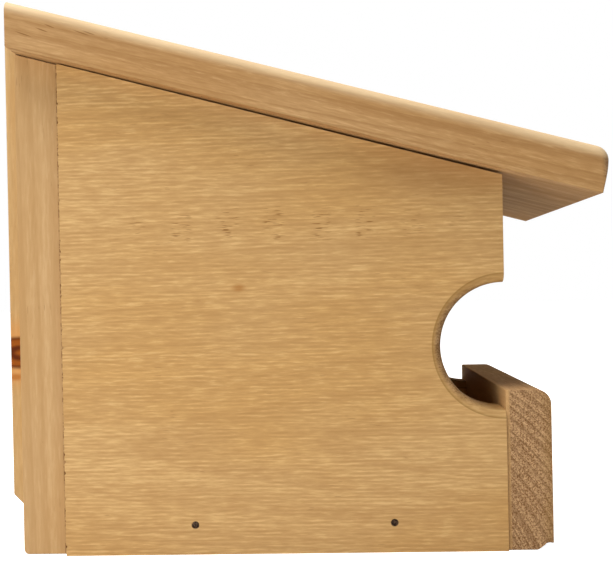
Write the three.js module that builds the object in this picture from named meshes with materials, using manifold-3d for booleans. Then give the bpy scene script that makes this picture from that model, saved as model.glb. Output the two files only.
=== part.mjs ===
// Half-open nest box for garden birds, built from 18 mm boards.
//
// Units are millimetres and +Z is up. The open front faces -Y, the left side panel is at -X, and
// the whole box stands on Z = 0, centred on the origin.
//
// While the boards are laid out, Y = 0 is the rear edge of the side panels. The last lines move
// everything so that the finished box is centred along Y as well.

import * as THREE from 'three';
import { mergeVertices } from 'three/addons/utils/BufferGeometryUtils.js';
import Module from 'manifold-3d';

const wasm = await Module();
wasm.setup();

// ---------------------------------------------------------------- driving dimensions

const BOARD = 18; // thickness of every board
const BOX_WIDTH = 130; // over the outer faces of both side panels
const PANEL_DEPTH = 179; // side panels, front edge to rear edge
const REAR_HEIGHT = 200; // side panels at their rear edge
const FRONT_HEIGHT = 151; // side panels at their front edge
const SEAM = 0.3; // hairline between two boards that touch
const FRONT_EDGE_RADIUS = 6; // router radius on the top front edges of front board and roof
const ROOF_SIDE_RADIUS = 4.5; // and on the roof's two long upper edges

const NOTCH_RADIUS = 25.5; // half-round grip in each side panel's front edge
const NOTCH_HEIGHT = 82.5; // its centre above the ground
const NOTCH_RIM = 4; // radius of its rounded outer rim

const FLOOR_RISE = 3; // underside of the floor above the ground
const FRONT_BOARD_HEIGHT = 64.5;
const FRONT_INSET = 1.25; // front board's ends, in from the side panels' faces
const BACK_INSET = 3; // back board's edges, in from the side panels' faces

const ROOF_LENGTH = 243.5; // along the underside
const ROOF_OVERHANG = 7.5; // past each side panel
const ROOF_GAP_REAR = 0.6; // roof to side panel at the panel's rear edge
const ROOF_GAP_FRONT = 1.2; // and at its front edge

const BATTEN_WIDTH = 45;
const BATTEN_BOTTOM = 8;
const BATTEN_TOP = 224; // just below the roof's highest edge
const BATTEN_BEVEL = 8; // 45 degree cut across the lower rear corner

const NAIL = { headRadius: 1.5, headDepth: 1.6, neck: 0.5, shankRadius: 1.1, point: 3, length: 45 };
const SCREW = { headRadius: 3.6, headDepth: 0.4, neck: 1.9, shankRadius: 1.7, point: 4, length: 30 };
const FASTENER_CLEARANCE = 0.3; // all round each fastener in its hole

const FLOOR_NAILS_FROM_REAR = [53, 133.5];
const FRONT_NAIL_HEIGHTS = [18, 46];
const BACK_NAIL_HEIGHTS = [30, 90, 150];
const ROOF_NAILS_FROM_REAR = [40, 95, 150];
const BATTEN_SCREW_HEIGHTS = [45, 165];

const ROUND_STEPS = 96; // facets round the notch
const RIM_STEPS = 6; // facets across a rounded edge
const FASTENER_STEPS = 20; // facets round a nail or a screw

// ---------------------------------------------------------------- worked-out sizes

const INNER_WIDTH = BOX_WIDTH - 2 * BOARD;
const PANEL_CENTRE_X = BOX_WIDTH / 2 - BOARD / 2;
const FRONT_EDGE_Y = -PANEL_DEPTH;
const FRONT_FACE_Y = FRONT_EDGE_Y - SEAM - BOARD;
const BACK_FACE_Y = SEAM + BOARD;
const BATTEN_FRONT_Y = BACK_FACE_Y + SEAM;
const BATTEN_FACE_Y = BATTEN_FRONT_Y + BOARD;

const ROOF_FALL = REAR_HEIGHT + ROOF_GAP_REAR - FRONT_HEIGHT - ROOF_GAP_FRONT;
const ROOF_PITCH = Math.atan2(ROOF_FALL, PANEL_DEPTH);
const ROOF_WIDTH = BOX_WIDTH + 2 * ROOF_OVERHANG;
const ROOF_FRONT_Y = BACK_FACE_Y - ROOF_LENGTH * Math.cos(ROOF_PITCH);
const ROOF_NOSE_Y = ROOF_FRONT_Y - BOARD * Math.sin(ROOF_PITCH);
const ROOF_UP = new THREE.Vector3(0, -Math.sin(ROOF_PITCH), Math.cos(ROOF_PITCH));

// Height of the roof's underside at a place along Y.
function roofUnderside(y) {
  return REAR_HEIGHT + ROOF_GAP_REAR + y * Math.tan(ROOF_PITCH);
}

// ---------------------------------------------------------------- materials

function wood(colour, roughness) {
  return new THREE.MeshStandardMaterial({ color: colour, roughness, metalness: 0 });
}

const beech = wood(0xc9a06a, 0.62);
const frontBeech = wood(0xb98b64, 0.66);
const spruce = wood(0xd3b184, 0.68);
const rearSpruce = wood(0xcf9f63, 0.68);
const darkSteel = new THREE.MeshStandardMaterial({ color: 0x3a322c, roughness: 0.45, metalness: 0.9 });
const zincSteel = new THREE.MeshStandardMaterial({ color: 0x9a9a96, roughness: 0.4, metalness: 0.9 });

// ---------------------------------------------------------------- solids and booleans

// A three.js geometry as a closed manifold-3d solid.
function solidOf(geometry) {
  const bare = geometry.clone();
  bare.deleteAttribute('normal');
  bare.deleteAttribute('uv');
  const welded = mergeVertices(bare, 1e-5);
  return new wasm.Manifold(new wasm.Mesh({
    numProp: 3,
    vertProperties: new Float32Array(welded.attributes.position.array),
    triVerts: new Uint32Array(welded.index.array),
  }));
}

// A manifold-3d solid back as a three.js geometry.
function geometryOf(solid) {
  const mesh = solid.getMesh();
  const geometry = new THREE.BufferGeometry();
  geometry.setAttribute('position', new THREE.BufferAttribute(mesh.vertProperties, 3));
  geometry.setIndex(new THREE.BufferAttribute(mesh.triVerts, 1));
  geometry.computeVertexNormals();
  return geometry;
}

// Stands a flat outline up so that its x runs along Y, its y along Z and its depth along X.
const SIDE_VIEW = new THREE.Matrix4().makeBasis(
  new THREE.Vector3(0, 1, 0),
  new THREE.Vector3(0, 0, 1),
  new THREE.Vector3(1, 0, 0),
);

// A side-view outline of [y, z] points, drawn out along X over `width` and centred on `centreX`.
function prismAcross(outline, width, centreX) {
  const shape = new THREE.Shape(outline.map(([y, z]) => new THREE.Vector2(y, z)));
  const geometry = new THREE.ExtrudeGeometry(shape, { depth: width, bevelEnabled: false });
  geometry.applyMatrix4(SIDE_VIEW);
  geometry.translate(centreX - width / 2, 0, 0);
  return solidOf(geometry);
}

// The sliver that a roundover bit takes off one straight edge, at the origin with the edge
// along X: the wood lies towards -Y and -Z of it.
function roundoverWaste(length, radius) {
  const past = 1;
  const shape = new THREE.Shape();
  shape.moveTo(past, past);
  shape.lineTo(-radius, past);
  shape.lineTo(-radius, 0);
  shape.absarc(-radius, -radius, radius, Math.PI / 2, 0, true);
  shape.lineTo(past, -radius);
  shape.closePath();
  const geometry = new THREE.ExtrudeGeometry(shape, {
    depth: length,
    bevelEnabled: false,
    curveSegments: RIM_STEPS,
  });
  geometry.applyMatrix4(SIDE_VIEW);
  geometry.translate(-length / 2, 0, 0);
  return geometry;
}

// Rounds one edge of a solid. The edge runs along `along` through `point`; `outA` and `outB`
// are the outward directions of the two faces that meet there.
function roundEdge(solid, { point, along, outA, outB, length, radius }) {
  const waste = roundoverWaste(length, radius);
  const turned = new THREE.Matrix4().makeBasis(along, outA, outB);
  if (turned.determinant() < 0) {
    turned.makeBasis(along.clone().negate(), outA, outB);
  }
  turned.setPosition(point);
  waste.applyMatrix4(turned);
  return solid.subtract(solidOf(waste));
}

// ---------------------------------------------------------------- fasteners

// A nail or screw, head up at the origin and point down -Y, grown by `clearance` and with its
// head end raised by `headRoom` when it is used to cut its own hole.
function fastenerGeometry(spec, clearance = 0, headRoom = 0) {
  const head = spec.headRadius + clearance;
  const shank = spec.shankRadius + clearance;
  const neckEnd = spec.headDepth + spec.neck + clearance;
  const profile = [
    [0, -spec.length - clearance],
    [shank, -spec.length + spec.point - clearance],
    [shank, -neckEnd],
    [head, -spec.headDepth - clearance],
    [head, headRoom],
    [0, headRoom],
  ];
  const points = profile.map(([radius, along]) => new THREE.Vector2(radius, along));
  return new THREE.LatheGeometry(points, FASTENER_STEPS);
}

// Where each fastener sits: its name, the centre of its head and the way its head faces.
function fastenerPlaces() {
  const places = [];
  const add = (name, spec, material, head, facing) => {
    places.push({ name, spec, material, head, facing });
  };
  const up = new THREE.Vector3(0, 0, 1);
  for (const [side, sign] of [['left', -1], ['right', 1]]) {
    const panelX = sign * PANEL_CENTRE_X;
    const outward = new THREE.Vector3(sign, 0, 0);
    FLOOR_NAILS_FROM_REAR.forEach((fromRear, i) => {
      const head = new THREE.Vector3(sign * BOX_WIDTH / 2, -fromRear, FLOOR_RISE + BOARD / 2);
      add(`floor_nail_${side}_${i + 1}`, NAIL, darkSteel, head, outward);
    });
    FRONT_NAIL_HEIGHTS.forEach((height, i) => {
      const head = new THREE.Vector3(panelX, FRONT_FACE_Y, height);
      add(`front_nail_${side}_${i + 1}`, NAIL, darkSteel, head, new THREE.Vector3(0, -1, 0));
    });
    BACK_NAIL_HEIGHTS.forEach((height, i) => {
      const head = new THREE.Vector3(panelX, BACK_FACE_Y, height);
      add(`back_nail_${side}_${i + 1}`, NAIL, darkSteel, head, new THREE.Vector3(0, 1, 0));
    });
    ROOF_NAILS_FROM_REAR.forEach((fromRear, i) => {
      const foot = new THREE.Vector3(panelX, -fromRear, roofUnderside(-fromRear));
      const head = foot.addScaledVector(ROOF_UP, BOARD);
      add(`roof_nail_${side}_${i + 1}`, NAIL, darkSteel, head, ROOF_UP);
    });
  }
  BATTEN_SCREW_HEIGHTS.forEach((height, i) => {
    const head = new THREE.Vector3(0, BATTEN_FACE_Y, height);
    add(`batten_screw_${i + 1}`, SCREW, zincSteel, head, new THREE.Vector3(0, 1, 0));
  });
  return places;
}

function turnTo(facing) {
  return new THREE.Quaternion().setFromUnitVectors(new THREE.Vector3(0, 1, 0), facing);
}

function makeFastener({ name, spec, material, head, facing }) {
  const mesh = new THREE.Mesh(fastenerGeometry(spec), material);
  mesh.name = name;
  mesh.quaternion.copy(turnTo(facing));
  mesh.position.copy(head);
  return mesh;
}

// Cuts the holes of every fastener that reaches into a solid.
function drill(solid, places) {
  const headRoom = 2;
  let drilled = solid;
  for (const { spec, head, facing } of places) {
    const hole = fastenerGeometry(spec, FASTENER_CLEARANCE, headRoom);
    hole.applyQuaternion(turnTo(facing));
    hole.translate(head.x, head.y, head.z);
    drilled = drilled.subtract(solidOf(hole));
  }
  return drilled;
}

// ---------------------------------------------------------------- boards

// The solid that the notch bit removes from one side panel: the bore and its rounded outer rim.
function notchWaste(sign) {
  const outer = NOTCH_RADIUS + NOTCH_RIM;
  const past = 2;
  const profile = [new THREE.Vector2(0, -BOARD - past), new THREE.Vector2(NOTCH_RADIUS, -BOARD - past)];
  for (let i = 0; i <= RIM_STEPS; i += 1) {
    const angle = (i / RIM_STEPS) * (Math.PI / 2);
    const radius = outer - NOTCH_RIM * Math.cos(angle);
    profile.push(new THREE.Vector2(radius, -NOTCH_RIM + NOTCH_RIM * Math.sin(angle)));
  }
  profile.push(new THREE.Vector2(outer, past), new THREE.Vector2(0, past));
  const waste = new THREE.LatheGeometry(profile, ROUND_STEPS);
  waste.applyQuaternion(turnTo(new THREE.Vector3(sign, 0, 0)));
  waste.translate(sign * BOX_WIDTH / 2, FRONT_EDGE_Y, NOTCH_HEIGHT);
  return solidOf(waste);
}

function sidePanel(sign) {
  const outline = [
    [FRONT_EDGE_Y, 0],
    [0, 0],
    [0, REAR_HEIGHT],
    [FRONT_EDGE_Y, FRONT_HEIGHT],
  ];
  return prismAcross(outline, BOARD, sign * PANEL_CENTRE_X).subtract(notchWaste(sign));
}

function floorBoard() {
  const top = FLOOR_RISE + BOARD;
  const outline = [
    [FRONT_EDGE_Y, FLOOR_RISE],
    [0, FLOOR_RISE],
    [0, top],
    [FRONT_EDGE_Y, top],
  ];
  return prismAcross(outline, INNER_WIDTH - 2 * SEAM, 0);
}

function backBoard() {
  const outline = [
    [SEAM, 0],
    [BACK_FACE_Y, 0],
    [BACK_FACE_Y, roofUnderside(BACK_FACE_Y) - SEAM],
    [SEAM, roofUnderside(SEAM) - SEAM],
  ];
  return prismAcross(outline, BOX_WIDTH - 2 * BACK_INSET, 0);
}

function frontBoard() {
  const rear = FRONT_EDGE_Y - SEAM;
  const outline = [
    [FRONT_FACE_Y, 0],
    [rear, 0],
    [rear, FRONT_BOARD_HEIGHT],
    [FRONT_FACE_Y, FRONT_BOARD_HEIGHT],
  ];
  return roundEdge(prismAcross(outline, BOX_WIDTH - 2 * FRONT_INSET, 0), {
    point: new THREE.Vector3(0, FRONT_FACE_Y, FRONT_BOARD_HEIGHT),
    along: new THREE.Vector3(1, 0, 0),
    outA: new THREE.Vector3(0, -1, 0),
    outB: new THREE.Vector3(0, 0, 1),
    length: BOX_WIDTH,
    radius: FRONT_EDGE_RADIUS,
  });
}

// The roof's rear end is cut upright, flush with the back board. Its front end is square.
function roofBoard() {
  const upright = BOARD / Math.cos(ROOF_PITCH);
  const rearZ = roofUnderside(BACK_FACE_Y);
  const frontZ = roofUnderside(ROOF_FRONT_Y);
  const noseZ = frontZ + BOARD * Math.cos(ROOF_PITCH);
  const outline = [
    [ROOF_FRONT_Y, frontZ],
    [BACK_FACE_Y, rearZ],
    [BACK_FACE_Y, rearZ + upright],
    [ROOF_NOSE_Y, noseZ],
  ];
  const downhill = new THREE.Vector3(0, -Math.cos(ROOF_PITCH), -Math.sin(ROOF_PITCH));
  const middle = new THREE.Vector3(0, ROOF_NOSE_Y, noseZ).addScaledVector(downhill, -ROOF_LENGTH / 2);
  let board = prismAcross(outline, ROOF_WIDTH, 0);
  board = roundEdge(board, {
    point: new THREE.Vector3(0, ROOF_NOSE_Y, noseZ),
    along: new THREE.Vector3(1, 0, 0),
    outA: downhill,
    outB: ROOF_UP,
    length: ROOF_WIDTH + BOARD,
    radius: FRONT_EDGE_RADIUS,
  });
  for (const sign of [-1, 1]) {
    board = roundEdge(board, {
      point: new THREE.Vector3(sign * ROOF_WIDTH / 2, middle.y, middle.z),
      along: downhill,
      outA: new THREE.Vector3(sign, 0, 0),
      outB: ROOF_UP,
      length: ROOF_LENGTH + 2 * BOARD,
      radius: ROOF_SIDE_RADIUS,
    });
  }
  return board;
}

function hangingBatten() {
  const outline = [
    [BATTEN_FRONT_Y, BATTEN_BOTTOM],
    [BATTEN_FACE_Y - BATTEN_BEVEL, BATTEN_BOTTOM],
    [BATTEN_FACE_Y, BATTEN_BOTTOM + BATTEN_BEVEL],
    [BATTEN_FACE_Y, BATTEN_TOP],
    [BATTEN_FRONT_Y, BATTEN_TOP],
  ];
  return prismAcross(outline, BATTEN_WIDTH, 0);
}

// A named board whose own origin is the middle of its box.
function makeBoard(name, solid, material) {
  const geometry = geometryOf(solid);
  geometry.computeBoundingBox();
  const middle = geometry.boundingBox.getCenter(new THREE.Vector3());
  geometry.translate(-middle.x, -middle.y, -middle.z);
  const mesh = new THREE.Mesh(geometry, material);
  mesh.name = name;
  mesh.position.copy(middle);
  return mesh;
}

// ---------------------------------------------------------------- assembly

const places = fastenerPlaces();

const boards = new THREE.Group();
boards.add(
  makeBoard('side_panel_left', drill(sidePanel(-1), places), beech),
  makeBoard('side_panel_right', drill(sidePanel(1), places), beech),
  makeBoard('floor_board', drill(floorBoard(), places), spruce),
  makeBoard('back_board', drill(backBoard(), places), rearSpruce),
  makeBoard('front_board', drill(frontBoard(), places), frontBeech),
  makeBoard('roof_board', drill(roofBoard(), places), spruce),
  makeBoard('hanging_batten', drill(hangingBatten(), places), rearSpruce),
);

const fasteners = new THREE.Group();
fasteners.add(...places.map(makeFastener));

const nestBox = new THREE.Group();
nestBox.add(boards, fasteners);
const extent = new THREE.Box3().setFromObject(nestBox, true);
nestBox.position.y = -extent.getCenter(new THREE.Vector3()).y;

export default nestBox;
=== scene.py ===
# %% [markdown]
# # A half-open nest box, board by board
#
# This is a small wooden nest box: two side panels with a half-round notch in the front edge, a
# low front board, a back board, a floor, a sloping roof and a batten to hang it by. The packed
# CAD model gives every size. Here each board is modelled again with the marks that real joinery
# has: eased corners, a routed edge, nail dimples, a torn edge and a chipped corner.

# %% Load the frame
import math

import bmesh
import bpy
from mathutils import Euler, Matrix, Vector, noise


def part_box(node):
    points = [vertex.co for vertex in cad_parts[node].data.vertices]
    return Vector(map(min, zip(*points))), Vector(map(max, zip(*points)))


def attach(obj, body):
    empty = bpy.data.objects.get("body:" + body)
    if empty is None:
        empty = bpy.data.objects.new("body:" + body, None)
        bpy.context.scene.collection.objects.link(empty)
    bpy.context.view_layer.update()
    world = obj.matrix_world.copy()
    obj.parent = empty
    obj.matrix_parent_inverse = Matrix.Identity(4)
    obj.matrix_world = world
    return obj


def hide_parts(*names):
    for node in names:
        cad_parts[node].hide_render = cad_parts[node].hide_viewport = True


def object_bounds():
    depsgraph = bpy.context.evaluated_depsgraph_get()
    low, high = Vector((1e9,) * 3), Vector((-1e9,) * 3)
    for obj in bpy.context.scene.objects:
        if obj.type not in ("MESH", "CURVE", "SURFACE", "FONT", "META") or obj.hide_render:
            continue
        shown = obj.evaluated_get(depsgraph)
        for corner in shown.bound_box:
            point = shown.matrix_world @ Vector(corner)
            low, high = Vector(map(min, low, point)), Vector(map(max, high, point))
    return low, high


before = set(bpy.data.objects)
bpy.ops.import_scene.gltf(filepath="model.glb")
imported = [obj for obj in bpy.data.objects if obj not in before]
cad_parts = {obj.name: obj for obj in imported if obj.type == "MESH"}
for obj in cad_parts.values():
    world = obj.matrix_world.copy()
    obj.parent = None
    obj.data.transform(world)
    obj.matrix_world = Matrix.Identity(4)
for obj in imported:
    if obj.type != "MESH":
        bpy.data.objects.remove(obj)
cad_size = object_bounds()
print("CAD box, lowest and highest corner:", cad_size)

# %% [markdown]
# The frame is in metres, and boards are thought of in millimetres, so one constant turns one
# into the other. Corners come from the CAD nodes: the corner of a board is its point that lies
# farthest in some direction, which also finds the ends of a sloping board.

# %% Read corners from the frame
MM = 0.001
LEFT, RIGHT = -1, 1


def farthest(node, direction):
    """The point of a CAD node that lies farthest in a direction."""
    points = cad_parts[node].data.vertices
    return max((point.co.copy() for point in points), key=lambda co: co.dot(Vector(direction)))


panel_low, panel_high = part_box("side_panel_left")
panel_front_top = farthest("side_panel_left", (0, -1, 0.5))
roof_rear_low = farthest("roof_board", (0, 1, -1))
roof_front_low = farthest("roof_board", (0, -1, -1))
roof_rear_high = farthest("roof_board", (0, 1, 1))
roof_fall = roof_rear_low.z - roof_front_low.z
roof_pitch = math.atan2(roof_fall, roof_rear_low.y - roof_front_low.y)
downhill = Vector((0, -math.cos(roof_pitch), -math.sin(roof_pitch)))
roof_up = Vector((0, -math.sin(roof_pitch), math.cos(roof_pitch)))
board = panel_high[0] - panel_low[0]
print(f"boards are {board / MM:.1f} mm thick and the roof falls {math.degrees(roof_pitch):.1f} degrees")

# %% [markdown]
# Every board starts in one of two ways. A plain one is a cube that is moved and scaled between
# two corners. One with a slanted end starts as its side view, a single face, which is extruded
# across the board's width. Both are closed, and both keep their place in the mesh, so the
# object itself stays at the origin.

# %% Start a board
def block(low, high):
    """A closed box between two corners."""
    low, high = Vector(low), Vector(high)
    place = Matrix.Translation((low + high) / 2) @ Matrix.Diagonal((*(high - low), 1.0))
    bm = bmesh.new()
    bmesh.ops.create_cube(bm, size=1.0, matrix=place)
    return bm


def corners_of(geometry):
    """The vertices in a list of mixed geometry."""
    return [item for item in geometry if isinstance(item, bmesh.types.BMVert)]


def grow_across(bm, face, width):
    """Extrudes a side view by `width` along X and closes the solid."""
    grown = bmesh.ops.extrude_face_region(bm, geom=[face])
    bmesh.ops.translate(bm, verts=corners_of(grown["geom"]), vec=(width, 0, 0))
    bmesh.ops.recalc_face_normals(bm, faces=bm.faces)
    return bm


def profile_board(outline, start_x, end_x):
    """A closed board whose side view is a list of (y, z) corners."""
    bm = bmesh.new()
    face = bm.faces.new([bm.verts.new((start_x, y, z)) for y, z in outline])
    return grow_across(bm, face, end_x - start_x)


# %% [markdown]
# A sharp corner never looks like wood, because sandpaper always takes the edge off it. Bevel
# does this: two or three segments for a sanded edge, seven or eight for an edge cut with a router
# bit. The edges to bevel are picked by the angle between their faces and by where they lie.

# %% Ease and round edges
SHARP = math.radians(25)


def middle_of(edge):
    """The point halfway along an edge."""
    return (edge.verts[0].co + edge.verts[1].co) / 2


def sharp_edges(bm, where=None):
    """The edges between faces that meet at an angle, kept only if `where` says so."""
    found = [e for e in bm.edges if len(e.link_faces) == 2 and e.calc_face_angle(0.0) > SHARP]
    if where is None:
        return found
    return [e for e in found if where(middle_of(e), e)]


def round_over(bm, edges, radius, segments, clamp=True):
    """Bevels edges to a round of the given radius."""
    bmesh.ops.bevel(
        bm,
        geom=edges,
        offset=radius,
        offset_type="OFFSET",
        segments=segments,
        profile=0.5,
        affect="EDGES",
        material=-1,
        clamp_overlap=clamp,
    )


def runs_along(edge, axis):
    """True if an edge is parallel to an axis."""
    run = (edge.verts[1].co - edge.verts[0].co).normalized()
    return abs(run.dot(Vector(axis))) > 0.99


# %% [markdown]
# A nail that is driven flush pulls the wood down round its head and leaves a shallow round
# dimple. To model one on a flat face, four cuts isolate a small square round the nail, the
# square's sides are subdivided, an inset makes an inner ring, the ring is drawn into a circle,
# and the face inside it is pushed in.

# %% Press a dimple for each nail head
ON_THE_PLANE = 1e-7
PATCH_REACH = 2.0  # half the square's side, in dimple radii
PATCH_CUTS = 5  # cuts in each side of the square
INNER_RING = 0.5  # width of the inset ring, in dimple radii
DIMPLE_TAPER = 0.93  # the floor's radius, in dimple radii
FACING_IT = 0.9


def split_faces(bm, faces, point, normal):
    """Cuts some faces along a plane, adding edges and taking nothing away."""
    parts = dict.fromkeys(item for face in faces for item in (face, *face.edges, *face.verts))
    bmesh.ops.bisect_plane(bm, geom=list(parts), plane_co=point, plane_no=normal, dist=ON_THE_PLANE)


def nearest_face(bm, centre, facing):
    """The face nearest to a point among those that face one way."""
    candidates = [face for face in bm.faces if face.normal.dot(facing) > FACING_IT]
    return min(candidates, key=lambda face: (face.calc_center_median() - centre).length)


def press_dimple(bm, centre, facing, radius, depth):
    """Sinks a round dimple into the flat face that `centre` lies on."""
    first = Vector((1, 0, 0)) if abs(facing.x) < 0.5 else Vector((0, 1, 0))
    for across in (first, facing.cross(first)):
        for side in (LEFT, RIGHT):
            split_faces(bm, bm.faces[:], centre + across * side * radius * PATCH_REACH, across)
    sides = nearest_face(bm, centre, facing).edges[:]
    bmesh.ops.subdivide_edges(bm, edges=sides, cuts=PATCH_CUTS, use_grid_fill=False)
    square = nearest_face(bm, centre, facing)
    bmesh.ops.inset_region(bm, faces=[square], thickness=radius * INNER_RING, use_even_offset=True)
    draw_round(square.verts, centre, radius)
    sunk = bmesh.ops.extrude_face_region(bm, geom=[square])
    floor_of_it = corners_of(sunk["geom"])
    bmesh.ops.translate(bm, verts=floor_of_it, vec=-facing * depth)
    draw_round(floor_of_it, centre - facing * depth, radius * DIMPLE_TAPER)
    bmesh.ops.delete(bm, geom=[square], context="FACES_ONLY")


def draw_round(vertices, centre, radius):
    """Moves vertices onto a circle round a centre, each along its own direction."""
    for vertex in vertices:
        vertex.co = centre + (vertex.co - centre).normalized() * radius


# %% [markdown]
# The last step is the same for every piece: the mesh gets its normals, its smooth and sharp
# edges, its material and its body. Flat faces that meet a small round look right only when the
# flat ones keep their own normals, so the normals are weighted by face area.

# %% Turn a bmesh into a finished piece
MERGE_DISTANCE = 1e-6


def finish_piece(name, bm, material, slot, *nodes):
    """Makes the object, gives it its material and body, and hides the CAD nodes it stands for."""
    bmesh.ops.remove_doubles(bm, verts=bm.verts, dist=MERGE_DISTANCE)
    bmesh.ops.dissolve_degenerate(bm, edges=bm.edges, dist=MERGE_DISTANCE)
    bmesh.ops.recalc_face_normals(bm, faces=bm.faces)
    for face in bm.faces:
        face.smooth = True
    for edge in bm.edges:
        edge.smooth = edge.calc_face_angle(0.0) < SHARP
    mesh = bpy.data.meshes.new(name)
    bm.to_mesh(mesh)
    bm.free()
    piece = bpy.data.objects.new(name, mesh)
    bpy.context.scene.collection.objects.link(piece)
    mesh.materials.append(material)
    weighted = piece.modifiers.new("even_shading", "WEIGHTED_NORMAL")
    weighted.keep_sharp = True
    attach(piece, "root")
    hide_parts(*nodes)
    print(f"{name}: {len(mesh.polygons)} faces")


# %% [markdown]
# ## Wood
#
# A board is a slice of a tree, so its colour is best made as a solid: every point in space has
# a distance from the tree's pith, and the growth rings are steps of that distance. On a long
# face the rings come out as grain lines, on an end they come out as arcs, and the two meet at
# the edge without any work. First come a few helpers that keep the node code short.

# %% Helpers for shader nodes
def shader_node(tree, kind, values=None, **settings):
    """One node with its settings, and its inputs set or linked."""
    node = tree.nodes.new(kind)
    for name, value in settings.items():
        setattr(node, name, value)
    for socket, value in (values or {}).items():
        if isinstance(value, bpy.types.NodeSocket):
            tree.links.new(value, node.inputs[socket])
        else:
            node.inputs[socket].default_value = value
    return node


def calc(tree, operation, first, second=0.0):
    """One step of arithmetic."""
    return shader_node(tree, "ShaderNodeMath", {0: first, 1: second}, operation=operation).outputs[0]


def vector_calc(tree, operation, first, second, output="Vector"):
    """One step of vector arithmetic."""
    node = shader_node(tree, "ShaderNodeVectorMath", {0: first, 1: second}, operation=operation)
    return node.outputs[output]


def fade(tree, value, start, end, low=0.0, high=1.0):
    """A smooth change from low to high while value goes from start to end."""
    values = {"Value": value, "From Min": start, "From Max": end, "To Min": low, "To Max": high}
    node = shader_node(tree, "ShaderNodeMapRange", values, interpolation_type="SMOOTHSTEP")
    return node.outputs["Result"]


def cloud(tree, place, stretch, detail=2.0, roughness=0.5, output="Fac"):
    """Noise, stretched by a different amount along each axis."""
    stretched = vector_calc(tree, "MULTIPLY", place, stretch)
    values = {"Vector": stretched, "Scale": 1.0, "Detail": detail, "Roughness": roughness}
    return shader_node(tree, "ShaderNodeTexNoise", values).outputs[output]


def line_cloud(tree, distance, rate, detail):
    """Noise that changes with one distance only."""
    values = {"W": calc(tree, "MULTIPLY", distance, rate), "Scale": 1.0, "Detail": detail}
    return shader_node(tree, "ShaderNodeTexNoise", values, noise_dimensions="1D").outputs["Fac"]


def mixed(tree, amount, first, second, mode="MIX"):
    """One colour laid over another."""
    node = tree.nodes.new("ShaderNodeMix")
    node.data_type = "RGBA"
    node.blend_type = mode
    for socket, value in ((0, amount), (6, first), (7, second)):
        if isinstance(value, bpy.types.NodeSocket):
            tree.links.new(value, node.inputs[socket])
        else:
            node.inputs[socket].default_value = value
    return node.outputs[2]


def object_place(tree):
    """Object coordinates, in metres."""
    return shader_node(tree, "ShaderNodeTexCoord").outputs["Object"]


def in_millimetres(tree, place):
    """A place counted in millimetres."""
    return vector_calc(tree, "DIVIDE", place, (MM, MM, MM))


def coordinate(tree, place, axis):
    """One coordinate of a place."""
    return shader_node(tree, "ShaderNodeSeparateXYZ", {"Vector": place}).outputs[axis]


def tint(red, green, blue):
    """A colour given as a screen shows it, turned into the linear one that shaders use."""
    linear = [((part + 0.055) / 1.055) ** 2.4 for part in (red, green, blue)]
    return (*linear, 1.0)


# %% [markdown]
# The wood is made in a few steps. A Mapping node turns each board so that its grain runs along
# the pattern's own X, counts in millimetres, and puts the pith on that X axis. Then come the
# parts that real wood shows: rings that wander, fine fibre streaks, short dark flecks, patches
# of warmer colour, and on the ends pores and sharper rings.

# %% Place the grain
def grain_space(tree, turn, pith):
    """Object coordinates in millimetres, with the grain along X and the pith at Y = Z = 0."""
    spin = Euler(turn).to_matrix()
    to_pith = spin @ (Vector(pith) / MM)
    where = shader_node(tree, "ShaderNodeTexCoord")
    values = {
        "Vector": where.outputs["Object"],
        "Location": -to_pith,
        "Rotation": turn,
        "Scale": (1 / MM, 1 / MM, 1 / MM),
    }
    place = shader_node(tree, "ShaderNodeMapping", values, vector_type="POINT").outputs["Vector"]
    along_grain = spin.inverted() @ Vector((1, 0, 0))
    facing = vector_calc(tree, "DOT_PRODUCT", where.outputs["Normal"], along_grain, "Value")
    end_grain = fade(tree, calc(tree, "ABSOLUTE", facing), 0.10, 0.70)
    return place, end_grain


# %% Growth rings
def ring_tone(tree, place, look):
    """How far into a year's dark late wood each point is, and finer lines beside the rings."""
    wander = cloud(tree, place, (0.006, 0.022, 0.022), 1.5, output="Color")
    wander = vector_calc(tree, "SUBTRACT", wander, (0.5, 0.5, 0.5))
    wander = vector_calc(tree, "MULTIPLY", wander, (0.0, look["wander"], look["wander"]))
    bent = vector_calc(tree, "ADD", place, wander)
    across = vector_calc(tree, "MULTIPLY", bent, (0, 1, 1))
    distance = vector_calc(tree, "LENGTH", across, (0, 0, 0), "Value")
    along = vector_calc(tree, "DOT_PRODUCT", place, (look["taper"], 0, 0), "Value")
    distance = calc(tree, "ADD", distance, along)
    uneven = line_cloud(tree, distance, 0.09, 2.0)
    years = calc(tree, "DIVIDE", distance, look["ring_gap"])
    years = calc(tree, "ADD", years, calc(tree, "MULTIPLY", uneven, 3.0))
    part = calc(tree, "FRACT", years)
    late = fade(tree, part, 0.30, 0.88)
    back = fade(tree, part, 0.90, 1.0, 1.0, 0.0)
    fine = line_cloud(tree, distance, 1.5, 3.0)
    return calc(tree, "MULTIPLY", late, back), fade(tree, fine, 0.35, 0.65)


# %% Fibres, flecks and pores
RIPPLE_STEP = 1.65  # millimetres from one saw line to the next
RIPPLE_DRIFT = 7.0  # how far noise shifts the lines, in radians of their wave


def fibre_tone(tree, place, look):
    """Fine streaks along the grain, about 0.5 on average."""
    fine = cloud(tree, place, (0.12, 1.05, 1.05), 3.0, 0.6)
    broad = cloud(tree, place, (0.006, 0.20, 0.20), 2.0, 0.5)
    both = calc(tree, "MULTIPLY", fine, look["fine_share"])
    return calc(tree, "ADD", both, calc(tree, "MULTIPLY", broad, 1 - look["fine_share"]))


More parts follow.
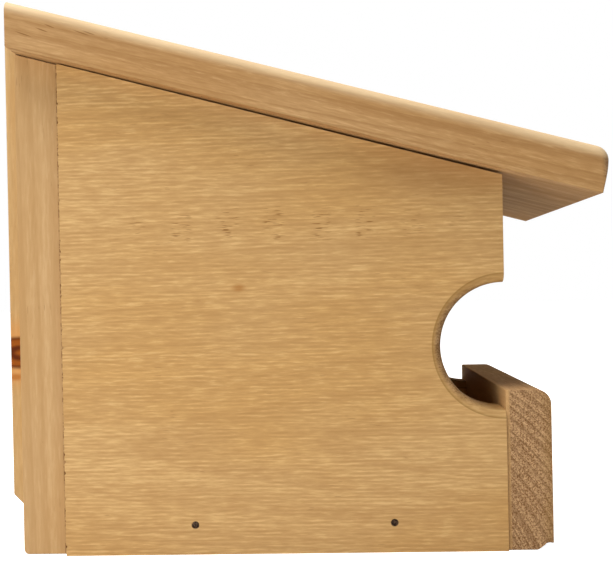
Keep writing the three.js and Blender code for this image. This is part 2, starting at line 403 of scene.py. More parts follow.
def saw_ripple(tree, place):
    """Faint parallel lines that a saw left, going from 0 to 1 and back at every step."""
    drift = calc(tree, "MULTIPLY", cloud(tree, place, (0.020, 0.0, 0.10), 1.0), RIPPLE_DRIFT)
    phase = calc(tree, "MULTIPLY", coordinate(tree, place, "Z"), math.tau / RIPPLE_STEP)
    wave = fade(tree, calc(tree, "SINE", calc(tree, "ADD", phase, drift)), -1.0, 1.0)
    strength = fade(tree, cloud(tree, place, (0.10, 0.10, 0.30), 2.0), 0.30, 0.60, 0.15, 1.0)
    return calc(tree, "MULTIPLY", wave, strength)


def fleck_mask(tree, place):
    """Short dark dashes along the grain, 1 where a dash is darkest."""
    dashes = cloud(tree, place, (0.18, 1.9, 1.9), 1.0, 0.4)
    dashes = fade(tree, dashes, 0.68, 0.76)
    groups = cloud(tree, place, (0.035, 0.06, 0.06), 1.0)
    return calc(tree, "MULTIPLY", dashes, fade(tree, groups, 0.52, 0.64))


def pore_mask(tree, place, look):
    """Round dark pores, seen only where the fibres are cut across."""
    squashed = vector_calc(tree, "MULTIPLY", place, (0.05, look["pore_rate"], look["pore_rate"]))
    cells = shader_node(tree, "ShaderNodeTexVoronoi", {"Vector": squashed, "Scale": 1.0})
    dots = fade(tree, cells.outputs["Distance"], 0.20, 0.42, 1.0, 0.0)
    groups = cloud(tree, place, (0.02, 0.16, 0.16), 2.0)
    return calc(tree, "MULTIPLY", dots, fade(tree, groups, 0.36, 0.52))


# %% Put the wood together
BARE_WOOD_SHEEN = 0.08
GRAIN_DEPTH = 0.12 * MM


def solid_wood(name, turn, pith, look, extra=None):
    """A material for one board, cut from its own place in the tree."""
    material = bpy.data.materials.new(name)
    material.use_nodes = True
    tree = material.node_tree
    shader = tree.nodes["Principled BSDF"]
    shader.inputs["Specular IOR Level"].default_value = BARE_WOOD_SHEEN
    place, end_grain = grain_space(tree, turn, pith)
    ring, fine_ring = ring_tone(tree, place, look)
    fibre = fibre_tone(tree, place, look)
    fleck = fleck_mask(tree, place)
    pore = calc(tree, "MULTIPLY", pore_mask(tree, place, look), end_grain)
    warm = fade(tree, cloud(tree, place, (0.012, 0.03, 0.03), 1.0), 0.35, 0.7)

    colour = mixed(tree, warm, look["pale"], look["warm"])
    ring_amount = calc(tree, "MULTIPLY", ring, look["ring_strength"])
    colour = mixed(tree, ring_amount, colour, look["late"])
    fibre_amount = fade(tree, fibre, 0.36, 0.66, 0.0, look["fibre_strength"])
    colour = mixed(tree, fibre_amount, colour, look["late"])
    light_streak = fade(tree, fibre, 0.48, 0.34, 0.0, look["fibre_strength"] * 0.8)
    colour = mixed(tree, light_streak, colour, look["glow"])
    ripple = calc(tree, "MULTIPLY", saw_ripple(tree, place), look["ripple_strength"])
    colour = mixed(tree, ripple, colour, look["late"])
    colour = mixed(tree, calc(tree, "MULTIPLY", fleck, look["fleck_strength"]), colour, look["deep"])

    cut = mixed(tree, calc(tree, "MULTIPLY", ring, 0.42), look["end_pale"], look["end_late"])
    cut = mixed(tree, calc(tree, "MULTIPLY", fine_ring, 0.22), cut, look["end_late"])
    speck = fade(tree, cloud(tree, place, (0.05, 1.3, 1.3), 4.0, 0.85), 0.44, 0.60)
    cut = mixed(tree, calc(tree, "MULTIPLY", speck, look["speck_strength"]), cut, look["end_late"])
    colour = mixed(tree, end_grain, colour, cut)
    colour = mixed(tree, calc(tree, "MULTIPLY", pore, look["pore_strength"]), colour, look["deep"])
    if extra is not None:
        colour = extra(tree, colour)
    tree.links.new(colour, shader.inputs["Base Color"])

    rough = fade(tree, fibre, 0.3, 0.7, look["roughness"] - 0.06, look["roughness"] + 0.08)
    tree.links.new(rough, shader.inputs["Roughness"])
    hollow = calc(tree, "ADD", calc(tree, "MULTIPLY", fibre, 0.6), calc(tree, "MULTIPLY", pore, 0.8))
    hollow = calc(tree, "ADD", hollow, calc(tree, "MULTIPLY", fleck, 0.5))
    height = calc(tree, "SUBTRACT", 1.0, hollow)
    values = {"Strength": 0.35, "Distance": GRAIN_DEPTH, "Height": height}
    bump = shader_node(tree, "ShaderNodeBump", values)
    tree.links.new(bump.outputs["Normal"], shader.inputs["Normal"])
    return material


# %% [markdown]
# Two kinds of timber are in this box. The side panels and the front board are a close-grained
# hardwood: a golden tan with very fine streaks. The roof, floor, back board and batten are a
# softwood with broader, plainer lines. Each look is a set of colours and strengths.

# %% Two timbers
hardwood = {
    "pale": tint(0.820, 0.670, 0.455),
    "warm": tint(0.800, 0.636, 0.404),
    "late": tint(0.660, 0.495, 0.300),
    "glow": tint(0.875, 0.733, 0.512),
    "deep": tint(0.460, 0.295, 0.150),
    "end_pale": tint(0.805, 0.652, 0.475),
    "end_late": tint(0.400, 0.255, 0.145),
    "ring_gap": 4.2,
    "ring_strength": 0.24,
    "wander": 5.0,
    "taper": 0.05,
    "fine_share": 0.74,
    "fibre_strength": 0.50,
    "ripple_strength": 0.36,
    "fleck_strength": 0.30,
    "speck_strength": 0.75,
    "pore_rate": 1.35,
    "pore_strength": 0.95,
    "roughness": 0.66,
}
softwood = dict(
    hardwood,
    pale=tint(0.775, 0.632, 0.450),
    warm=tint(0.755, 0.598, 0.400),
    glow=tint(0.820, 0.690, 0.510),
    late=tint(0.665, 0.508, 0.320),
    ring_gap=5.5,
    ring_strength=0.30,
    wander=4.0,
    taper=0.02,
    fine_share=0.50,
    fibre_strength=0.38,
    ripple_strength=0.08,
    fleck_strength=0.35,
    pore_rate=1.3,
    pore_strength=0.35,
)
print("timbers:", len(hardwood), "values each")

# %% [markdown]
# ## The side panels
#
# Each panel is one board with its grain running front to back. The side view is drawn as a few
# corners, and the half-round notch is one corner spun about the notch's centre. Filling that
# loop and extruding it gives the board. A router has rounded the notch's outer rim, which is a
# bevel on the edges that lie at the notch's radius. Edges that touch another board stay sharp.

# %% Side panel sizes
NOTCH_RADIUS = 25.5 * MM
NOTCH_HEIGHT = 82.5 * MM
NOTCH_RIM = 4.0 * MM
NOTCH_STEPS = 64
ON_THE_ARC = 0.3 * MM
SANDED = 0.4 * MM
NAIL_HOLE_RADIUS = 1.6 * MM
NAIL_HOLE_DEPTH = 0.5 * MM
TOUCHING = 0.05 * MM  # what is left of a joint that was nailed tight
notch_centre = Vector((0, panel_low[1], NOTCH_HEIGHT))
floor_nails = {
    side: [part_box(f"floor_nail_{word}_{number}") for number in (1, 2)]
    for side, word in ((LEFT, "left"), (RIGHT, "right"))
}


def box_middle(corners):
    """The middle of a box given by its two corners."""
    return (Vector(corners[0]) + Vector(corners[1])) / 2


# %% Draw the panel's side view
def panel_outline(bm, x):
    """The side view of a side panel as one closed loop of edges at the given X."""
    front, rear = panel_low[1], panel_high[1]
    notch_top = bm.verts.new((x, front, NOTCH_HEIGHT + NOTCH_RADIUS))
    arc = [notch_top]
    spun = bmesh.ops.spin(
        bm,
        geom=arc,
        cent=(x, front, NOTCH_HEIGHT),
        axis=(1, 0, 0),
        dvec=(0, 0, 0),
        angle=-math.pi,
        steps=NOTCH_STEPS,
        use_merge=False,
    )
    notch_bottom = corners_of(spun["geom_last"])[0]
    notch_bottom.co = (x, front, NOTCH_HEIGHT - NOTCH_RADIUS)
    path = [
        notch_bottom,
        bm.verts.new((x, front, panel_low[2])),
        bm.verts.new((x, rear, panel_low[2])),
        bm.verts.new((x, rear, panel_high[2])),
        bm.verts.new((x, front, panel_front_top.z)),
        notch_top,
    ]
    for start, end in zip(path, path[1:]):
        bm.edges.new((start, end))


def panel_body(side):
    """A closed side panel with its routed notch and sanded edges."""
    outer_x = side * abs(panel_low[0])
    inner_x = side * abs(panel_high[0])
    bm = bmesh.new()
    panel_outline(bm, inner_x)
    filled = bmesh.ops.edgeloop_fill(bm, edges=bm.edges[:])
    grow_across(bm, filled["faces"][0], outer_x - inner_x)

    def on_outer_rim(middle):
        from_centre = math.hypot(middle.y - notch_centre.y, middle.z - notch_centre.z)
        near_round = abs(from_centre - NOTCH_RADIUS) < ON_THE_ARC
        return near_round and abs(middle.x - outer_x) < SANDED

    def off_the_joint(middle, edge):
        at_front = middle.y < panel_low[1] + TOUCHING
        by_front_board = at_front and runs_along(edge, (0, 0, 1)) and middle.z < NOTCH_HEIGHT
        return not by_front_board and not runs_along(edge, downhill)

    rim = [e for e in bm.edges if on_outer_rim(middle_of(e))]
    round_over(bm, rim, NOTCH_RIM, 7)
    round_over(bm, sharp_edges(bm, off_the_joint), SANDED, 2)
    facing = Vector((side, 0, 0))
    for nail in floor_nails[side]:
        head = box_middle(nail)
        head.x = outer_x
        press_dimple(bm, head, facing, NAIL_HOLE_RADIUS, NAIL_HOLE_DEPTH)
    return bm


# %% [markdown]
# The saw tore the panel's rear edge a little, so the seam with the back board shows as a row of
# dark nicks rather than a clean line. Only a narrow strip along that edge is cut into short
# lengths, and its outermost points are then pulled back by noise that is zero most of the time.

# %% Tear the rear edge
TEAR_STEP = 0.5 * MM
TEAR_STRIP = 2.5 * MM
TEAR_LENGTH = 1.5 * MM
TEAR_DEPTH_LOW = 1.28 * MM  # for noise of 1, at the panel's foot
TEAR_DEPTH_HIGH = 0.64 * MM  # and at its top
TEAR_SIDEWAYS = 0.8  # how far a nick goes along X for each step along Y
TEAR_REACH = SANDED * 1.2
SOUND_EDGE = 0.10  # noise below this leaves the edge whole


def tear_rear_edge(bm, side):
    """Nicks the outer rear edge of a side panel, deepest at its foot."""
    rear = panel_high[1]
    tall = panel_high[2] - panel_low[2]
    strip_start = rear - TEAR_STRIP
    split_faces(bm, bm.faces[:], Vector((0, strip_start, 0)), Vector((0, 1, 0)))
    for number in range(1, int(tall / TEAR_STEP)):
        strip = [face for face in bm.faces if face.calc_center_median().y > strip_start]
        point = Vector((0, 0, panel_low[2] + number * TEAR_STEP))
        split_faces(bm, strip, point, Vector((0, 0, 1)))
    outer_x = side * abs(panel_low[0])
    for vertex in bm.verts:
        if vertex.co.y > rear - TEAR_REACH and abs(vertex.co.x - outer_x) < TEAR_REACH:
            rough = noise.noise(Vector((side * 3.1, 0, vertex.co.z / TEAR_LENGTH)))
            height = (vertex.co.z - panel_low[2]) / tall
            depth = TEAR_DEPTH_LOW + (TEAR_DEPTH_HIGH - TEAR_DEPTH_LOW) * height
            nick = max(0.0, rough - SOUND_EDGE) * depth
            vertex.co.y -= nick
            vertex.co.x -= side * nick * TEAR_SIDEWAYS


# %% [markdown]
# Flat-sawn boards show an arch where the saw runs close to a ring. Putting the pith almost 50 mm
# behind the panel's face and low down gives tight lines above and one soft arch below. A band of
# darker flecks crosses the panel above its middle, and there is one pin knot, a small brown spot.
# Painted shade browns the upper front corner, under the roof's front end. More painted shade darkens
# the routed rim round the notch, most near its outer edge, and the notch's inner edge a little.

# %% Side panel wood
GRAIN_FRONT_TO_BACK = (0, 0, math.radians(-90))
FLECK_SPACING = 18.6  # millimetres from one group of flecks to the next


def spot_on(tree, centre, size, soft=0.35):
    """1 inside an oval round a point in object space, fading to 0 at its edge."""
    where = object_place(tree)
    offset = vector_calc(tree, "SUBTRACT", where, centre)
    scaled = vector_calc(tree, "DIVIDE", offset, size)
    distance = vector_calc(tree, "LENGTH", scaled, (0, 0, 0), "Value")
    return fade(tree, distance, soft, 1.0, 1.0, 0.0)


def panel_marks_and_shade(side):
    """The pin knot, the flecks, and painted shade under the roof's front and on the notch's rim, on one
    side panel.
    """
    face_x = side * abs(panel_low[0])
    pin_knot = (face_x, panel_high[1] - 72.3 * MM, 107.7 * MM)
    band = (face_x, panel_high[1] - 95 * MM, 133 * MM)
    roof_shade_centre = (face_x, panel_high[1] - 158 * MM, 154 * MM)

    def add_marks_and_shade(tree, colour):
        where = object_place(tree)
        counted = in_millimetres(tree, where)
        dashes = cloud(tree, counted, (1.2, 0.19, 2.1), 1.0, 0.4)
        dashes = fade(tree, dashes, 0.57, 0.70)
        along = coordinate(tree, counted, "Y")
        beat = calc(tree, "SINE", calc(tree, "MULTIPLY", along, math.tau / FLECK_SPACING))
        grouped = calc(tree, "MULTIPLY", dashes, fade(tree, beat, -0.2, 0.7, 0.12, 1.0))
        in_band = spot_on(tree, band, (20 * MM, 95 * MM, 9 * MM), 0.5)
        amount = calc(tree, "MULTIPLY", calc(tree, "MULTIPLY", grouped, in_band), 0.75)
        colour = mixed(tree, amount, colour, tint(0.49, 0.32, 0.14))
        # Painted shade: the upper front corner is browned where the roof's front end shades it.
        patch = spot_on(tree, roof_shade_centre, (20 * MM, 52 * MM, 20 * MM), 0.1)
        colour = mixed(tree, calc(tree, "MULTIPLY", patch, 0.42), colour, tint(0.62, 0.43, 0.24))
        knot = calc(tree, "MULTIPLY", spot_on(tree, pin_knot, (9 * MM, 4.2 * MM, 2.3 * MM), 0.1), 0.7)
        colour = mixed(tree, knot, colour, tint(0.64, 0.43, 0.21))
        # Painted shade on the routed rim, darkest near its outer edge, and painted shade on the notch's
        # inner edge.
        from_notch = vector_calc(tree, "SUBTRACT", where, notch_centre)
        from_notch = vector_calc(tree, "MULTIPLY", from_notch, (0, 1 / MM, 1 / MM))
        radius = vector_calc(tree, "LENGTH", from_notch, (0, 0, 0), "Value")
        rim = (NOTCH_RADIUS + NOTCH_RIM) / MM
        inside_rim = fade(tree, radius, rim - 0.30, rim - 0.05, 1.0, 0.0)
        rim_shade = fade(tree, radius, rim - 1.3, rim - 0.4, 0.22, 0.62)
        colour = mixed(tree, calc(tree, "MULTIPLY", inside_rim, rim_shade), colour, tint(0.55, 0.41, 0.20))
        inner = NOTCH_RADIUS / MM
        inner_edge_shade = fade(tree, radius, inner, inner + 1.3, 0.45, 0.0)
        return mixed(tree, inner_edge_shade, colour, tint(0.48, 0.36, 0.20))

    return add_marks_and_shade


for side, word in ((LEFT, "left"), (RIGHT, "right")):
    panel_pith = (side * abs(panel_high[0]) * 0.35, 0, 46 * MM)
    panel_wood = solid_wood(
        f"{word}_panel_wood", GRAIN_FRONT_TO_BACK, panel_pith, hardwood, panel_marks_and_shade(side)
    )
    panel = panel_body(side)
    tear_rear_edge(panel, side)
    finish_piece(f"side_board_{word}", panel, panel_wood, "beech", f"side_panel_{word}")

# %% [markdown]
# ## The front board
#
# This board lies across the front with its grain from side to side, so the end that shows is
# end grain: growth rings cut across, full of small round pores. Its top front edge is rounded
# with a 6 mm router bit, the edges that lie in the joint are left sharp so that it stays tight,
# and one lower corner is chipped.

# %% Front board
ROUTER_RADIUS = 6.0 * MM
front_low, front_high = (Vector(corner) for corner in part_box("front_board"))
front_high.y = panel_low[1] - TOUCHING


def front_board_body():
    """The low front board with its routed top edge."""
    bm = block(front_low, front_high)

    def top_front(middle, edge):
        return middle.y < front_low.y + SANDED and middle.z > front_high.z - SANDED

    def off_the_joint(middle, edge):
        return middle.y < front_high.y - SANDED or not runs_along(edge, (0, 0, 1))

    round_over(bm, sharp_edges(bm, top_front), ROUTER_RADIUS, 8)
    round_over(bm, sharp_edges(bm, off_the_joint), SANDED, 2)
    return bm


# %% [markdown]
# A chip is a break, so its surface is rough and its outline is irregular. The corner is first cut
# into a fine grid, then every point that lies below the broken surface is lifted onto it. The
# lifted faces that end up with no area are removed when the piece is finished.

# %% Chip the lower front corner
CHIP_REACH = Vector((13 * MM, 6.4 * MM, 3.6 * MM))
CHIP_GRID = 0.6 * MM


def chip_height(point):
    """Height of the broken surface over a point of the board's underside."""
    along_x = (point.x - front_low.x) / CHIP_REACH.x
    along_y = (point.y - front_low.y) / CHIP_REACH.y
    fall = max(0.0, 1.0 - along_x ** 2)
    slope = min(1.0, max(0.0, (1.0 - along_y) * 1.75))
    rough = noise.noise(point / (1.6 * MM)) * 0.35 * MM + noise.noise(point / (0.7 * MM)) * 0.2 * MM
    height = CHIP_REACH.z * 0.82 * slope * fall
    return 0.0 if height <= 0 else max(0.0, height + rough * min(1.0, slope * 3) * fall)


def chip_corner(bm):
    """Breaks a piece out of the front board's lower corner on the left."""
    limit = front_low + CHIP_REACH + Vector((CHIP_GRID, CHIP_GRID, CHIP_GRID)) * 2
    for axis in range(3):
        normal = Vector((0, 0, 0))
        normal[axis] = 1
        for number in range(1, int(CHIP_REACH[axis] / CHIP_GRID) + 2):
            near = [face for face in bm.faces if touches_corner(face, limit)]
            split_faces(bm, near, front_low + normal * number * CHIP_GRID, normal)
    for vertex in bm.verts:
        inside = all(vertex.co[i] < front_low[i] + CHIP_REACH[i] for i in range(3))
        if inside:
            vertex.co.z = max(vertex.co.z, front_low.z + chip_height(vertex.co))


def touches_corner(face, limit):
    """True if any part of a face's box reaches into the corner region."""
    lowest = [min(v.co[i] for v in face.verts) for i in range(3)]
    return all(lowest[i] < limit[i] for i in range(3))


front_pith = (0, front_high.y + 70 * MM, -36 * MM)
front_look = dict(hardwood, ring_gap=2.9, wander=2.5, pale=tint(0.80, 0.63, 0.45))


def end_tone_and_highlight(tree, colour):
    """A darker, greener front part, and a painted highlight: a pale strip along the rear edge."""
    where = object_place(tree)
    backwards = coordinate(tree, where, "Y")
    wavy = calc(tree, "MULTIPLY", cloud(tree, where, (60, 60, 60), 1.0), 9 * MM)
    depth = calc(tree, "SUBTRACT", calc(tree, "ADD", backwards, wavy), front_low.y)
    heart = fade(tree, depth, 5 * MM, 10 * MM, 0.30, 0.0)
    colour = mixed(tree, heart, colour, tint(0.55, 0.41, 0.20))
    # Painted highlight: the last two millimetres by the rear edge are paled, standing in for light on a
    # rounded edge.
    from_rear = calc(tree, "SUBTRACT", front_high.y, backwards)
    strip = fade(tree, from_rear, 0.8 * MM, 2.0 * MM, 0.8, 0.0)
    return mixed(tree, strip, colour, tint(0.80, 0.63, 0.42))


front_wood = solid_wood("front_board_wood", (0, 0, 0), front_pith, front_look, end_tone_and_highlight)
front = front_board_body()
for word in ("left", "right"):
    for number in (1, 2):
        head = box_middle(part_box(f"front_nail_{word}_{number}"))
        head.y = front_low.y
        press_dimple(front, head, Vector((0, -1, 0)), NAIL_HOLE_RADIUS, NAIL_HOLE_DEPTH)
chip_corner(front)
finish_piece("front_rail", front, front_wood, "front_wood", "front_board")

# %% [markdown]
# ## The back board and the batten
#
# Both stand upright with their grain vertical. The back board's top is cut to the roof's slope,
# so it is drawn as a side view and extruded. The batten behind it carries the box on a wall or a
# tree: its lower end is bevelled, which sheds rain.

# %% Back board
GRAIN_UPRIGHT = (0, math.radians(90), 0)
BACK_ROUNDED = 0.8 * MM
BACK_FOOT_ROUNDED = 2.0 * MM
back_low, back_high = (Vector(corner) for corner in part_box("back_board"))
back_front_top = farthest("back_board", (0, -1, 0.5))


def back_board_body():
    """The back board, with its top cut to the roof's slope."""
    outline = [
        (back_low.y, back_low.z),
        (back_high.y, back_low.z),
        (back_high.y, back_high.z),
        (back_low.y, back_front_top.z),
    ]
    bm = profile_board(outline, back_low.x, back_high.x)

    def rear_bottom(middle, edge):
        return middle.y > back_high.y - SANDED and middle.z < back_low.z + SANDED

    round_over(bm, sharp_edges(bm, rear_bottom), BACK_FOOT_ROUNDED, 3)
    round_over(bm, sharp_edges(bm), BACK_ROUNDED, 3)
    return bm


def seam_painted_shade(tree, colour):
    """Painted shade: dark dots along the seam with the side panels, where the joint lies in shade."""
    where = object_place(tree)
    counted = in_millimetres(tree, where)
    depth = calc(tree, "SUBTRACT", coordinate(tree, counted, "Y"), back_low.y / MM)
    in_seam = fade(tree, depth, 0.5, 1.2, 1.0, 0.0)
    dots = fade(tree, cloud(tree, counted, (0.3, 0.2, 0.50), 3.0, 0.7), 0.46, 0.58)
    # Painted shade: the dots darken the back board's front face and the first millimetre of its edge.
    amount = calc(tree, "MULTIPLY", in_seam, fade(tree, dots, 0.0, 1.0, 0.15, 0.85))
    return mixed(tree, amount, colour, tint(0.36, 0.19, 0.03))


back_pith = (back_low.x - 35 * MM, back_high.y + 25 * MM, 0)
back_wood = solid_wood("back_board_wood", GRAIN_UPRIGHT, back_pith, softwood, seam_painted_shade)
back = back_board_body()
for word in ("left", "right"):
    for number in (1, 2, 3):
        head = box_middle(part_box(f"back_nail_{word}_{number}"))
        head.y = back_high.y
        press_dimple(back, head, Vector((0, 1, 0)), NAIL_HOLE_RADIUS, NAIL_HOLE_DEPTH)
finish_piece("rear_board", back, back_wood, "rear_softwood", "back_board")

# %% [markdown]
# A knot is where a branch left the trunk: darker wood with its own close rings and a resinous
# glow round it. The batten's knot crosses its left edge. Its colour is an oval in object space,
# like the rings, so both faces of the board show the same branch cut in two directions.

# %% Batten with its knot
BATTEN_ROUNDED = 0.9 * MM
SCREW_HOLLOW_RADIUS = 3.9 * MM
SCREW_HOLLOW_DEPTH = 0.9 * MM
batten_low, batten_high = (Vector(corner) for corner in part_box("hanging_batten"))
bevel_start = farthest("hanging_batten", (0, 0.4, -1))
bevel_end = farthest("hanging_batten", (0, 1, -0.4))
knot_centre = Vector((batten_low.x, batten_high.y - 5 * MM, 80.4 * MM))


def batten_body():
    """The batten with its bevelled lower end."""
    outline = [
        (batten_low.y, batten_low.z),
        (bevel_start.y, bevel_start.z),
        (bevel_end.y, bevel_end.z),
        (batten_high.y, batten_high.z),
        (batten_low.y, batten_high.z),
    ]
    bm = profile_board(outline, batten_low.x, batten_high.x)
    round_over(bm, sharp_edges(bm), BATTEN_ROUNDED, 3)
    return bm


def knot_colour(tree, colour):
    """A reddish brown knot with darker rings, an orange glow round it and a spot below."""
    where = object_place(tree)
    offset = vector_calc(tree, "SUBTRACT", where, knot_centre)
    scaled = vector_calc(tree, "DIVIDE", offset, (20 * MM, 19 * MM, 7.8 * MM))
    ripple = cloud(tree, scaled, (1.3, 1.3, 1.3), 3.0, output="Color")
    ripple = vector_calc(tree, "SUBTRACT", ripple, (0.5, 0.5, 0.5))
    ripple = vector_calc(tree, "MULTIPLY", ripple, (0.3, 0.3, 0.3))
    scaled = vector_calc(tree, "ADD", scaled, ripple)
    distance = vector_calc(tree, "LENGTH", scaled, (0, 0, 0), "Value")
    glow = fade(tree, distance, 0.9, 2.6, 0.65, 0.0)
    colour = mixed(tree, glow, colour, tint(0.84, 0.58, 0.31))
    heart = mixed(
        tree,
        fade(tree, calc(tree, "PINGPONG", calc(tree, "MULTIPLY", distance, 3.4), 1.0), 0.2, 0.9),
        tint(0.60, 0.32, 0.08),
        tint(0.38, 0.16, 0.02),
    )
    colour = mixed(tree, fade(tree, distance, 0.76, 1.06, 1.0, 0.0), colour, heart)
    lower = tuple(knot_centre + Vector((0, 3 * MM, -11 * MM)))
    spot = calc(tree, "MULTIPLY", spot_on(tree, lower, (6 * MM, 6 * MM, 2.4 * MM), 0.2), 0.8)
    return mixed(tree, spot, colour, tint(0.70, 0.42, 0.17))


batten_look = dict(softwood, pale=tint(0.81, 0.67, 0.465), warm=tint(0.79, 0.62, 0.39))
batten_pith = (batten_low.x - 30 * MM, batten_low.y - 30 * MM, 0)
batten_wood = solid_wood("batten_wood", GRAIN_UPRIGHT, batten_pith, batten_look, knot_colour)
batten = batten_body()
for number in (1, 2):
    head = box_middle(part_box(f"batten_screw_{number}"))
    head.y = batten_high.y
    press_dimple(batten, head, Vector((0, 1, 0)), SCREW_HOLLOW_RADIUS, SCREW_HOLLOW_DEPTH)
finish_piece("wall_batten", batten, batten_wood, "rear_softwood", "hanging_batten")

# %% [markdown]
# ## The roof and the floor
#
# The roof is drawn as its side view: the rear end is cut upright, the front end is square to the
# slope. Its upper front edge is rounded with the front board's router bit and its two upper side
# edges with a smaller one, and a painted highlight pales the rounded side edges. The
# last loop keeps the rounded corners inside the board's own width. The floor is a plain sanded board.

# %% Roof board
roof_low, roof_high = (Vector(corner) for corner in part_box("roof_board"))
ROOF_GRAIN = (-roof_pitch, 0, math.radians(-90))
ROOF_SIDE_RADIUS = 4.0 * MM
ROOF_ROUNDED = 0.7 * MM


def roof_body():
    """The sloping roof with its routed upper edges."""
    nose = roof_front_low + roof_up * board
    outline = [
        (roof_front_low.y, roof_front_low.z),
        (roof_rear_low.y, roof_rear_low.z),
        (roof_rear_high.y, roof_rear_high.z),
        (nose.y, nose.z),
    ]
    bm = profile_board(outline, roof_low.x, roof_high.x)

    def height_over_underside(middle):
        return (middle - roof_front_low).dot(roof_up)

    def front_edge(middle, edge):
        return height_over_underside(middle) > board - SANDED and runs_along(edge, (1, 0, 0))

    def side_edge(middle, edge):
        above = height_over_underside(middle) > board - ROUTER_RADIUS
        return above and abs(middle.x) > roof_high.x - SANDED

    nose_edge = min(sharp_edges(bm, front_edge), key=lambda edge: edge.verts[0].co.y)
    round_over(bm, [nose_edge], ROUTER_RADIUS, 8)
    round_over(bm, sharp_edges(bm, side_edge), ROOF_SIDE_RADIUS, 8, clamp=False)
    round_over(bm, sharp_edges(bm), ROOF_ROUNDED, 3)
    for vertex in bm.verts:
        vertex.co.x = min(max(vertex.co.x, roof_low.x), roof_high.x)
    return bm


roof_look = dict(
    softwood,
    pale=tint(0.755, 0.603, 0.415),
    warm=tint(0.725, 0.560, 0.362),
    glow=tint(0.820, 0.675, 0.485),
    late=tint(0.600, 0.435, 0.260),
    fleck_strength=0.6,
    fibre_strength=0.60,
    ring_strength=0.42,
    ring_gap=4.6,
)
# Each streak: how far down the slope, how deep below the top and how long, in millimetres.
STREAKS = [(33.5, 5.6, 4.0), (36.5, 4.9, 3.2), (11, 11.5, 4.2), (18, 8.2, 3.2), (20.5, 6.0, 2.6)]
STREAK_WIDTH = 0.3


def roof_streaks_and_highlight(tree, colour):
    """Short dark resin streaks on the roof's sides, and a painted highlight along the routed upper side
    edges.
    """
    where = object_place(tree)
    from_corner = vector_calc(tree, "SUBTRACT", where, roof_rear_high)
    down = vector_calc(tree, "DOT_PRODUCT", from_corner, downhill / MM, "Value")
    deep = vector_calc(tree, "DOT_PRODUCT", from_corner, -roof_up / MM, "Value")
    for down_slope, depth, reach in STREAKS:
        along = calc(tree, "DIVIDE", calc(tree, "SUBTRACT", down, down_slope), reach)
        drop = calc(tree, "ADD", depth, calc(tree, "MULTIPLY", along, 0.35))
        across = calc(tree, "DIVIDE", calc(tree, "SUBTRACT", deep, drop), STREAK_WIDTH)
        reach_squared = calc(tree, "MULTIPLY", along, along)
        distance = calc(tree, "ADD", reach_squared, calc(tree, "MULTIPLY", across, across))
        streak = fade(tree, distance, 0.1, 1.0, 0.65, 0.0)
        colour = mixed(tree, streak, colour, tint(0.45, 0.29, 0.13))
    # Painted highlight: the rounded upper side edges are paled, down to about 6 mm below the top.
    sideways = calc(tree, "ABSOLUTE", coordinate(tree, where, "X"))
    from_side = calc(tree, "SUBTRACT", roof_high.x, sideways)
    near_side = fade(tree, from_side, ROOF_SIDE_RADIUS * 0.7, ROOF_SIDE_RADIUS * 1.4, 0.66, 0.0)
    painted_edge_highlight = calc(tree, "MULTIPLY", near_side, fade(tree, deep, 1.6, 6.0, 1.0, 0.0))
    uneven = fade(tree, cloud(tree, where, (30, 18, 60), 3.0), 0.3, 0.6, 0.75, 1.0)
    return mixed(tree, calc(tree, "MULTIPLY", painted_edge_highlight, uneven), colour, tint(0.88, 0.785, 0.63))


roof_pith = (roof_low.x + 20 * MM, 0, roof_front_low.z - 70 * MM)
roof_wood = solid_wood("roof_wood", ROOF_GRAIN, roof_pith, roof_look, roof_streaks_and_highlight)
roof = roof_body()
for word in ("left", "right"):
    for number in (1, 2, 3):
        nail = f"roof_nail_{word}_{number}"
        head = farthest(nail, roof_up)
        head.x = box_middle(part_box(nail)).x
        press_dimple(roof, head, roof_up, NAIL_HOLE_RADIUS, NAIL_HOLE_DEPTH)
finish_piece("roof_slope", roof, roof_wood, "roof_softwood", "roof_board")

# %% Floor board
floor_low, floor_high = (Vector(corner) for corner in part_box("floor_board"))
floor_body = block(floor_low, floor_high)
round_over(floor_body, sharp_edges(floor_body), SANDED, 2)
floor_pith = (30 * MM, 0, floor_low.z - 60 * MM)
floor_wood = solid_wood("floor_wood", GRAIN_FRONT_TO_BACK, floor_pith, softwood)
finish_piece("nest_floor", floor_body, floor_wood, "roof_softwood", "floor_board")

# %% [markdown]
# ## Nails and screws
#
# A nail is turned work: half of its outline, spun once round its own axis. The outline starts and
# ends on the axis, so the solid is closed. Each is made upright at the origin and then its mesh
# is turned and moved to its hole. Bare steel that was driven with a hammer is dark, dull and
# scratched.

# %% Steel
def bare_steel(name, clean, dark, roughness):
    """Dull steel with darker stains and fine scratches."""
    material = bpy.data.materials.new(name)
    material.use_nodes = True
    tree = material.node_tree
    shader = tree.nodes["Principled BSDF"]
    shader.inputs["Metallic"].default_value = 0.85
    where = object_place(tree)
    counted = in_millimetres(tree, where)
    stains = fade(tree, cloud(tree, counted, (1.4, 1.4, 1.4), 3.0, 0.6), 0.35, 0.65)
    tree.links.new(mixed(tree, stains, clean, dark), shader.inputs["Base Color"])
    rough = fade(tree, stains, 0.0, 1.0, roughness, roughness + 0.25)
    tree.links.new(rough, shader.inputs["Roughness"])
    scratches = cloud(tree, counted, (9.0, 2.0, 2.0), 2.0)
    values = {"Strength": 0.25, "Distance": 0.05 * MM, "Height": scratches}
    bump = shader_node(tree, "ShaderNodeBump", values)
    tree.links.new(bump.outputs["Normal"], shader.inputs["Normal"])
    return material


nail_steel = bare_steel("nail_steel", tint(0.36, 0.28, 0.22), tint(0.14, 0.10, 0.08), 0.38)
screw_steel = bare_steel("screw_steel", tint(0.72, 0.71, 0.66), tint(0.48, 0.47, 0.44), 0.30)

